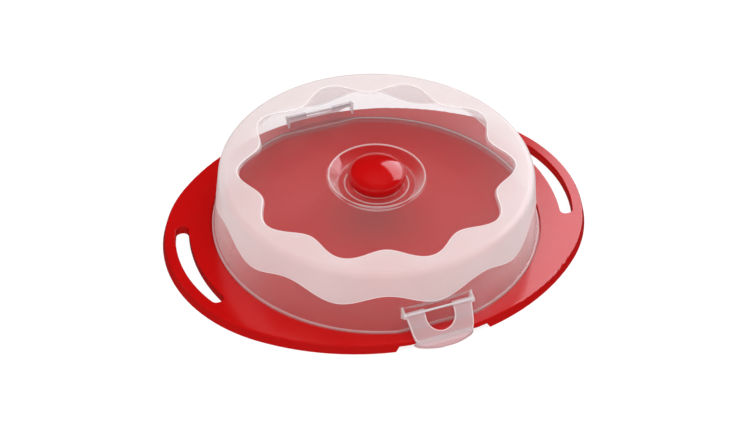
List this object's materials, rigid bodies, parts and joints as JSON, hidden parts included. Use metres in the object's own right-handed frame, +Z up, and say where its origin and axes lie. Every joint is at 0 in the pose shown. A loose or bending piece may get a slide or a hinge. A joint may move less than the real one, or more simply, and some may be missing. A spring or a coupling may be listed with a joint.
{
  "type": "cake carrier",
  "caption": "Cake carrier: oval red tray with hand slots at both ends, low round translucent dome lid with a scalloped edge, round knob and two latches.",
  "frame": {"origin": "middle of the tray's footprint, on the surface that it stands on", "axes": "+X runs through the two hand slots, +Y from the front latch to the rear latch, +Z is up"},
  "size_m": [0.362, 0.3106, 0.0706],
  "materials": {
    "red_plastic": "polished moulding",
    "clear_plastic": "translucent polished moulding, frosted on the scalloped band",
    "latch_plastic": "translucent milky moulding",
    "steel": "plain drawn wire and screw stock"
  },
  "bodies": {
    "tray_body": {"tray": "red_plastic"},
    "lid_body": {"lid": "clear_plastic", "knob": "red_plastic", "knob_screw": "steel", "hinge_pin_front": "steel", "hinge_pin_rear": "steel"},
    "latch_front_body": {"latch_front": "latch_plastic"},
    "latch_rear_body": {"latch_rear": "latch_plastic"}
  },
  "joints": [
    {"name": "lid_lift", "type": "slide", "parent": "tray_body", "child": "lid_body", "axis": [0, 0, 1], "range_m": [0, 0.13]},
    {"name": "latch_front_swing", "type": "hinge", "parent": "lid_body", "child": "latch_front_body", "pos_m": [0, -0.1336, 0.0244], "axis": [-1, 0, 0], "range_deg": [0, 115]},
    {"name": "latch_rear_swing", "type": "hinge", "parent": "lid_body", "child": "latch_rear_body", "pos_m": [0, 0.1336, 0.0244], "axis": [1, 0, 0], "range_deg": [0, 115]}
  ]
}
